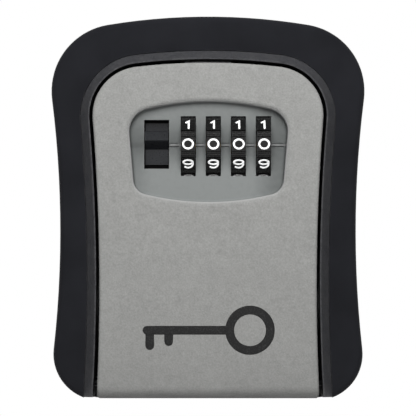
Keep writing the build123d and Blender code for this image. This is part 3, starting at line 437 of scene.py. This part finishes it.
def dial_plastic():
    """Glossy black dial plastic; the band between two pads carries fine ridges, painted paler as
    highlights.
    """
    finish = Finish("dial_plastic")
    _, y, z = finish.axes()
    axis = Vector(joint("dial_1_turn")["pos_m"])
    angle = finish.math("ARCTAN2", finish.math("SUBTRACT", z, axis.z), finish.math("SUBTRACT", axis.y, y))
    turns = finish.math("MULTIPLY", angle, FIGURES / tau)
    # From 0 at the middle of a pad to 0.5 half-way between two pads
    offset = finish.math("ABSOLUTE", finish.math("SUBTRACT", turns, finish.math("ROUND", turns)))
    rim = finish.math("ABSOLUTE", finish.math("SUBTRACT", offset, RIDGE_PLACE))
    ridges_and_highlights = finish.math(
        "MAXIMUM",
        finish.spread(rim, *RIDGE_WIDTH, 1.0, 0.0),
        finish.spread(offset, *MIDDLE_RIDGE),
    )
    fine = finish.noise(0.5, 3.0, 0.6)
    cloud = finish.noise(4.0, 2.0)
    base = finish.mix(finish.spread(cloud, 0.3, 0.7), shade(0.006), shade(0.010))
    # Painted highlight: the ridges are paler than the plastic
    base = finish.mix(finish.math("MULTIPLY", ridges_and_highlights, 0.8), base, shade(0.045))
    worn = finish.math("MULTIPLY", finish.edges(0.2), finish.spread(finish.noise(0.8, 3.0), 0.35, 0.65))
    finish.colour(finish.mix(finish.math("MULTIPLY", worn, 0.6), base, shade(0.05)))
    finish.roughness(finish.spread(fine, 0.3, 0.7, 0.2, 0.32))
    finish.bump((fine, 0.002), (ridges_and_highlights, 0.05))
    return finish.material


def metal(name, dark, light, roughness, lay=(1.0, 1.0, 1.0), grain=0.25, depth=0.004, stain=0.25):
    """Bare or plated metal: tool marks along a lay, a little staining, bright edges."""
    finish = Finish(name, metallic=1.0)
    marks = finish.noise(grain, 3.0, 0.7, vector=finish.stretched(*lay))
    stains = finish.noise(2.2, 4.0, 0.6)
    base = finish.mix(finish.spread(marks, 0.3, 0.7), dark, light)
    dull = tuple(channel * 0.55 for channel in dark[:3]) + (1.0,)
    base = finish.mix(finish.spread(stains, 0.5, 0.8, 0.0, stain), base, dull)
    bright = tuple(min(1.0, channel * 1.25) for channel in light[:3]) + (1.0,)
    finish.colour(finish.mix(finish.edges(0.2), base, bright))
    rough = finish.math("ADD", finish.spread(marks, 0.3, 0.7, -0.05, 0.08), roughness)
    finish.roughness(finish.math("ADD", rough, finish.spread(stains, 0.5, 0.8, 0.0, 0.15)))
    finish.bump((marks, depth))
    return finish.material


def ink(name, level, gaps, ground, glow=0.0):
    """Printed ink with slightly uneven cover; the ground shows through the gaps. A glow, when given, is
    painted light.
    """
    finish = Finish(name, specular=0.4)
    finish.shader.inputs["Emission Color"].default_value = shade(1.0)
    finish.shader.inputs["Emission Strength"].default_value = glow
    speckle = finish.noise(0.45, 3.0, 0.7)
    cloud = finish.noise(1.5, 2.0)
    base = finish.mix(finish.spread(cloud, 0.3, 0.7), shade(level * 0.92), shade(level))
    finish.colour(finish.mix(finish.spread(speckle, 0.5, 0.7, 0.0, gaps), base, shade(ground)))
    finish.roughness(finish.spread(speckle, 0.3, 0.7, 0.35, 0.5))
    finish.bump((speckle, 0.004))
    return finish.material


ZINC_DARK, ZINC_LIGHT = (0.50, 0.52, 0.55, 1.0), (0.72, 0.74, 0.77, 1.0)
STEEL_DARK, STEEL_LIGHT = (0.40, 0.40, 0.41, 1.0), (0.62, 0.62, 0.63, 1.0)
BLACK_DARK, BLACK_LIGHT = (0.030, 0.030, 0.033, 1.0), (0.060, 0.060, 0.064, 1.0)
BRASS_DARK, BRASS_LIGHT = (0.62, 0.43, 0.17, 1.0), (0.83, 0.62, 0.29, 1.0)

# The shutter behind the button's pad starts this far behind the thumb ridge; from there back the button
# is painted dark as shade
BUTTON_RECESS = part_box("release_button")[0].y + 3.55 * MM

FINISHES = {
    "cover": cover(),
    "casting": casting(),
    "door_paint": door_paint(),
    "case_plastic": moulded("case_plastic", 0.02, 0.5, 0.35, 0.03),
    "dial_plastic": dial_plastic(),
    "button_plastic": moulded("button_plastic", 0.014, 0.3, 0.4, 0.004, BUTTON_TINT, BUTTON_RECESS),
    "screw_steel": metal("screw_steel", ZINC_DARK, ZINC_LIGHT, 0.3),
    "pin_steel": metal("pin_steel", STEEL_DARK, STEEL_LIGHT, 0.24, lay=(0.08, 1.0, 1.0)),
    "black_steel": metal("black_steel", BLACK_DARK, BLACK_LIGHT, 0.42, lay=(0.08, 1.0, 1.0)),
    "plate_steel": metal("plate_steel", STEEL_DARK, ZINC_LIGHT, 0.34, lay=(0.12, 1.0, 1.0)),
    "spring_steel": metal("spring_steel", STEEL_DARK, STEEL_LIGHT, 0.26),
    "lever_brass": metal("lever_brass", BRASS_DARK, BRASS_LIGHT, 0.32, lay=(0.2, 1.0, 1.0)),
    "sleeve_brass": metal("sleeve_brass", BRASS_DARK, BRASS_LIGHT, 0.28, lay=(6.0, 0.3, 0.3)),
    # The figures glow faintly, as painted light
    "figure_ink": ink("figure_ink", 0.95, 0.12, 0.5, glow=0.2),
    "print_ink": ink("print_ink", 0.013, 0.45, 0.08),
}


def dress_nodes():
    """Gives each CAD node the finish of the record's slot that its mesh came with."""
    for piece in NODES.values():
        finish = FINISHES[piece.data.materials[0].name]
        piece.data.materials.clear()
        piece.data.materials.append(finish)


# ---------------------------------------------------------------- pieces built here


def new_piece(name, vertices, faces, finish, body):
    """A smooth mesh piece in the shared frame that rides on a body."""
    mesh = bpy.data.meshes.new(name)
    mesh.from_pydata([tuple(point) for point in vertices], [], faces)
    mesh.validate()
    mesh.materials.append(finish)
    mesh.shade_smooth()
    piece = bpy.data.objects.new(name, mesh)
    bpy.context.scene.collection.objects.link(piece)
    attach(piece, body)
    return piece


def arc(centre_x, centre_z, radius_x, radius_z, start, end, steps=12):
    """Points along an ellipse between two angles in degrees."""
    points = []
    for step in range(steps + 1):
        angle = radians(start + (end - start) * step / steps)
        points.append((centre_x + radius_x * cos(angle), centre_z + radius_z * sin(angle)))
    return points


def figure_strokes(figure):
    """The strokes of a figure in a box two wide and two high; a closed stroke repeats its start."""
    if figure == 0:
        return [arc(0, 0, 1, 1, 0, 360, 40)]
    if figure == 1:
        return [[(-0.42, 0.62), (0.12, 1.0), (0.12, -1.0)]]
    if figure == 2:
        top = arc(0, 0.45, 0.88, 0.55, 170, -35, 20)
        return [top + [(-0.88, -1.0), (0.92, -1.0)]]
    if figure == 3:
        upper = arc(-0.05, 0.5, 0.82, 0.5, 150, -90, 20)
        lower = arc(-0.05, -0.5, 0.92, 0.5, 90, -150, 20)
        return [upper + lower[1:]]
    if figure == 4:
        return [[(0.45, -1.0), (0.45, 1.0), (-0.95, -0.45), (0.95, -0.45)]]
    if figure == 5:
        bowl_points = arc(-0.08, -0.33, 0.95, 0.67, 115, -150, 24)
        return [[(0.75, 1.0), (-0.62, 1.0), (-0.72, 0.12)] + bowl_points[2:]]
    if figure == 6:
        return [arc(0, -0.46, 0.95, 0.54, 0, 360, 32), arc(0, 0, 0.95, 1.0, 205, 50, 20)]
    if figure == 7:
        return [[(-0.9, 1.0), (0.9, 1.0), (-0.25, -1.0)]]
    if figure == 8:
        return [arc(0, 0.52, 0.8, 0.48, 0, 360, 32), arc(0, -0.48, 0.95, 0.52, 0, 360, 32)]
    return [arc(0, 0.46, 0.95, 0.54, 0, 360, 32), arc(0, 0, 0.95, 1.0, 25, -130, 20)]


def stroke_solid(points, width, height, to_frame):
    """A low raised stroke with round ends along flat points: rings of a lens-shaped section."""
    flat = [Vector((point[0], point[1])) for point in points]
    closed = (flat[0] - flat[-1]).length < width * 0.05
    if closed:
        flat = flat[:-1]
    count = len(flat)
    half = width / 2
    stations = []
    for index, point in enumerate(flat):
        before = flat[index - 1] if closed or index else point
        after = flat[(index + 1) % count] if closed or index < count - 1 else point
        incoming = (point - before).normalized() if (point - before).length else None
        outgoing = (after - point).normalized() if (after - point).length else None
        along = ((incoming or outgoing) + (outgoing or incoming)).normalized()
        widening = 1 / max(SHARPEST_MITRE, along.dot(outgoing or incoming))
        stations.append((point, along, widening))
    if not closed:
        stations = round_end(stations[0], half, -1) + stations + round_end(stations[-1], half, 1)
    ring = len(STROKE_SECTION)
    vertices = []
    for point, along, widening in stations:
        across = Vector((along.y, -along.x)) * half * widening
        for share, lift in STROKE_SECTION:
            place = point + across * share
            vertices.append(to_frame(place.x, place.y, lift * height))
    faces = []
    spans = len(stations) if closed else len(stations) - 1
    for span in range(spans):
        first = span * ring
        second = (span + 1) % len(stations) * ring
        for side in range(ring):
            follow = (side + 1) % ring
            faces.append((first + side, first + follow, second + follow, second + side))
    if not closed:
        faces.append(tuple(reversed(range(ring))))
        last = (len(stations) - 1) * ring
        faces.append(tuple(last + side for side in range(ring)))
    return vertices, faces


def round_end(station, half, sense):
    """Stations that narrow a stroke to a round end."""
    point, along, _ = station
    ends = []
    for angle in ROUND_END_ANGLES:
        reach = half * sin(radians(angle)) * sense
        ends.append((point + along * reach, along, cos(radians(angle))))
    return ends if sense > 0 else list(reversed(ends))


def add_stroke(vertices, faces, points, width, height, to_frame):
    """Adds a stroke's solid to a mesh's vertices and faces."""
    start = len(vertices)
    places, sides = stroke_solid(points, width, height, to_frame)
    vertices += places
    faces += [tuple(start + corner for corner in side) for side in sides]


def dial_figures(index):
    """The ten painted figures of a dial, as raised strokes on its pads."""
    name = f"dial_{index}"
    turn = joint(f"{name}_turn")
    axis = Vector(turn["pos_m"])
    low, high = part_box(name)
    centre_x = (low.x + high.x) / 2
    pad_radius = axis.y - low.y
    vertices, faces = [], []
    for figure in range(FIGURES):
        angle = figure * tau / FIGURES
        outward = Vector((0, -cos(angle), sin(angle)))
        upward = Vector((0, sin(angle), cos(angle)))
        origin = Vector((centre_x, axis.y, axis.z)) + outward * pad_radius

        def to_frame(x, z, lift):
            return origin + Vector((x, 0, 0)) + upward * z + outward * lift

        for stroke in figure_strokes(figure):
            sized = [(x * FIGURE_HALF_WIDTH, z * FIGURE_HALF_HEIGHT) for x, z in stroke]
            add_stroke(vertices, faces, sized, STROKE_WIDTH, STROKE_HEIGHT, to_frame)
    new_piece(f"{name}_figures", vertices, faces, FINISHES["figure_ink"], name)


def key_pictogram():
    """A plain key printed on the door: a round bow, a blade and two bits."""
    panel = NODES["door_panel"]
    low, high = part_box("door_panel")
    centre_x = low.x + (high.x - low.x) * KEY_CENTRE_SHARE
    centre_z = low.z + (high.z - low.z) * KEY_HEIGHT_SHARE
    to_panel = panel.matrix_world.inverted()

    def on_door(layer):
        def to_frame(x, z, lift):
            start = Vector((centre_x + x, low.y - MM, centre_z + z))
            hit, place, _, _ = panel.ray_cast(to_panel @ start, Vector((0, 1, 0)))
            ground = (panel.matrix_world @ place).y if hit else low.y
            return Vector((start.x, ground - INK_LIFT * (layer + lift), start.z))

        return to_frame

    bow = arc(KEY_BOW_OFFSET, 0, KEY_BOW_RADIUS, KEY_BOW_RADIUS, 0, 360, 72)
    blade_end = KEY_BOW_OFFSET - KEY_BOW_RADIUS
    blade = [(blade_end, 0), (-KEY_BLADE_REACH, 0)]
    # Each kind of stroke has its own layer, so that no two share a surface where they cross
    strokes = [(bow, BOW_LAYER), (blade, BLADE_LAYER)]
    for bit_x, bit_length in KEY_BITS:
        strokes.append(([(bit_x * MM, 0), (bit_x * MM, -bit_length * MM)], BIT_LAYER))
    vertices, faces = [], []
    for stroke, layer in strokes:
        add_stroke(vertices, faces, stroke, KEY_STROKE, INK_CROWN, on_door(layer))
    new_piece("key_pictogram", vertices, faces, FINISHES["print_ink"], "door")


def coil_spring(node, travel):
    """A coil spring with closed ends, at its rest length in its CAD envelope; the travel is not used."""
    low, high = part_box(node)
    centre = (low + high) / 2
    wire = SPRING_WIRE / 2
    coil = (high.x - low.x) / 2 - wire
    length = high.z - low.z
    steps = SPRING_TURNS * SPRING_STEPS_PER_TURN
    open_turns = SPRING_TURNS - 2 * SPRING_CLOSED_TURNS
    open_rise = length - 2 * wire - 2 * SPRING_CLOSED_TURNS * SPRING_WIRE
    path = []
    for step in range(steps + 1):
        turn = step / SPRING_STEPS_PER_TURN
        first = min(turn, SPRING_CLOSED_TURNS)
        last = max(0.0, turn - SPRING_TURNS + SPRING_CLOSED_TURNS)
        height = (first + last) * SPRING_WIRE
        height += (turn - first - last) / open_turns * open_rise
        angle = turn * tau
        path.append(centre + Vector((coil * cos(angle), coil * sin(angle), 0)))
        path[-1].z = low.z + wire + height
    vertices, faces = [], []
    for step, point in enumerate(path):
        along = (path[min(step + 1, steps)] - path[max(step - 1, 0)]).normalized()
        radial = Vector((point.x - centre.x, point.y - centre.y, 0)).normalized()
        normal = along.cross(radial).normalized()
        for side in range(SPRING_RING):
            angle = side * tau / SPRING_RING
            vertices.append(point + (radial * cos(angle) + normal * sin(angle)) * wire)
    for step in range(steps):
        for side in range(SPRING_RING):
            follow = (side + 1) % SPRING_RING
            first, second = step * SPRING_RING, (step + 1) * SPRING_RING
            faces.append((first + side, first + follow, second + follow, second + side))
    faces.append(tuple(range(SPRING_RING)))
    faces.append(tuple(reversed(range(steps * SPRING_RING, (steps + 1) * SPRING_RING))))
    piece = new_piece(f"{node}_coil", vertices, faces, FINISHES["spring_steel"], "door")
    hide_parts(node)
    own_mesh(piece)


# ---------------------------------------------------------------- stage, light and camera


def cyclorama():
    """A pale floor that curves up and closes overhead, seen by the camera and lighting nothing."""
    material = bpy.data.materials.new("surround")
    material.use_nodes = True
    tree = material.node_tree
    tree.nodes.clear()
    glow = tree.nodes.new("ShaderNodeEmission")
    glow.inputs["Color"].default_value = (1.0, 1.0, 1.0, 1.0)
    glow.inputs["Strength"].default_value = 1.0
    output = tree.nodes.new("ShaderNodeOutputMaterial")
    tree.links.new(glow.outputs["Emission"], output.inputs["Surface"])
    floor = cad_box[0].z - FLOOR_DROP
    flat = SURROUND_RADIUS * SURROUND_FLAT_SHARE
    bend = SURROUND_RADIUS - flat
    profile = [(flat / 2, floor)]
    for step in range(SURROUND_BEND_STEPS + 1):
        angle = radians(-90 + step * 180 / SURROUND_BEND_STEPS)
        profile.append((flat + bend * cos(angle), floor + bend * (1 + sin(angle))))
    bowl = bmesh.new()
    rings = []
    for radius, height in profile:
        ring = []
        for segment in range(SURROUND_SEGMENTS):
            angle = segment * tau / SURROUND_SEGMENTS
            ring.append(bowl.verts.new((radius * cos(angle), radius * sin(angle), height)))
        rings.append(ring)
    for inner, outer in zip(rings, rings[1:]):
        for segment in range(SURROUND_SEGMENTS):
            follow = (segment + 1) % SURROUND_SEGMENTS
            bowl.faces.new((inner[segment], inner[follow], outer[follow], outer[segment]))
    bowl.faces.new(rings[0])
    bowl.faces.new(list(reversed(rings[-1])))
    mesh = bpy.data.meshes.new("floor")
    bowl.to_mesh(mesh)
    bowl.free()
    mesh.materials.append(material)
    floor_piece = bpy.data.objects.new("floor", mesh)
    bpy.context.scene.collection.objects.link(floor_piece)
    floor_piece.visible_diffuse = False
    floor_piece.visible_glossy = False
    floor_piece.visible_transmission = False
    floor_piece.visible_shadow = False


def world_ramp(tree, value, numbers):
    """A value eased from one range to another."""
    made = tree.nodes.new("ShaderNodeMapRange")
    made.interpolation_type = "SMOOTHSTEP"
    tree.links.new(value, made.inputs["Value"])
    for name, number in zip(RANGE_SOCKETS, numbers):
        made.inputs[name].default_value = number
    return made.outputs["Result"]


def studio_world():
    """Soft surrounding light: dim all round, with a broad glow in front and another behind."""
    world = bpy.data.worlds.new("studio")
    bpy.context.scene.world = world
    world.use_nodes = True
    tree = world.node_tree
    tree.nodes.clear()
    place = tree.nodes.new("ShaderNodeTexCoord")
    facing = tree.nodes.new("ShaderNodeVectorMath")
    facing.operation = "DOT_PRODUCT"
    tree.links.new(place.outputs["Generated"], facing.inputs[0])
    facing.inputs[1].default_value = Vector(GLOW_DIRECTION).normalized()
    axes = tree.nodes.new("ShaderNodeSeparateXYZ")
    tree.links.new(place.outputs["Generated"], axes.inputs[0])
    both = tree.nodes.new("ShaderNodeMath")
    both.operation = "MAXIMUM"
    tree.links.new(world_ramp(tree, facing.outputs["Value"], GLOW_RANGE), both.inputs[0])
    tree.links.new(world_ramp(tree, axes.outputs[1], BACK_RANGE), both.inputs[1])
    light = tree.nodes.new("ShaderNodeBackground")
    tree.links.new(both.outputs[0], light.inputs["Strength"])
    output = tree.nodes.new("ShaderNodeOutputWorld")
    tree.links.new(light.outputs[0], output.inputs["Surface"])


def softbox(name, place, power):
    """A large square lamp that faces the door, and that neither the camera nor a gloss sees."""
    light = bpy.data.lights.new(name, "AREA")
    light.shape = "SQUARE"
    light.size = LAMP_SIZE
    light.energy = power
    lamp = bpy.data.objects.new(name, light)
    bpy.context.scene.collection.objects.link(lamp)
    lamp.location = place
    lamp.rotation_mode = "QUATERNION"
    lamp.rotation_quaternion = (Vector(LAMP_TARGET) - Vector(place)).to_track_quat("-Z", "Y")
    lamp.visible_camera = False
    lamp.visible_glossy = False


def camera():
    """The camera, straight in front of the door."""
    data = bpy.data.cameras.new("camera")
    data.lens = CAMERA_LENS
    data.sensor_width = CAMERA_SENSOR
    data.clip_start, data.clip_end = CAMERA_CLIP
    eye = bpy.data.objects.new("camera", data)
    bpy.context.scene.collection.objects.link(eye)
    eye.location = (0, -CAMERA_DISTANCE, 0)
    eye.rotation_mode = "QUATERNION"
    eye.rotation_quaternion = Vector((0, 1, 0)).to_track_quat("-Z", "Y")
    bpy.context.scene.camera = eye


# ---------------------------------------------------------------- the scene

camera()
cyclorama()
studio_world()
softbox("key", KEY_PLACE, KEY_POWER)
softbox("fill", FILL_PLACE, FILL_POWER)
bpy.context.scene.view_settings.view_transform = "Standard"

dress_nodes()
for index in range(1, 5):
    dial_figures(index)
key_pictogram()
latch_travel = joint("latch_slide")["range_m"][1]
for node in ("latch_spring_left", "latch_spring_right"):
    coil_spring(node, latch_travel)
